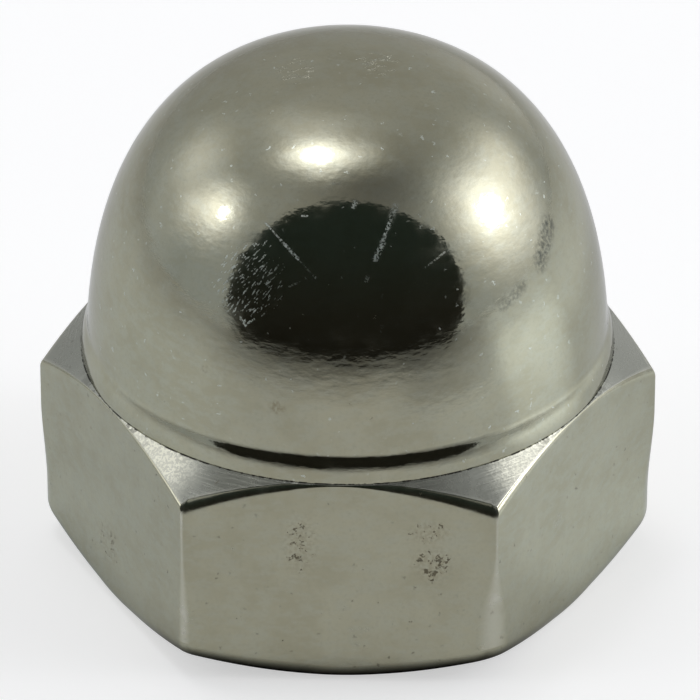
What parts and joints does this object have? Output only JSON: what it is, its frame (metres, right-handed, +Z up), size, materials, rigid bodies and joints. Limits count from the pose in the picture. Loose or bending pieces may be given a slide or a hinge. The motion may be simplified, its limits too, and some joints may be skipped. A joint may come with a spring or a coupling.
{
  "type": "cap nut",
  "caption": "Domed cap nut in plated metal: a chamfered hexagon with a round collar and a closed dome over a blind threaded hole.",
  "frame": {"origin": "centre of the bearing face, on the thread's axis", "axes": "+Z up the thread's axis from the bearing face to the crown of the dome; two flats face -Y and +Y, and two corners lie on X"},
  "size_m": [0.0196, 0.017, 0.0172],
  "materials": {
    "plated_metal": "polished warm nickel plate, lightly scratched, pitted and stained"
  },
  "bodies": {
    "root": {"cap_nut": "plated_metal"}
  },
  "joints": []
}
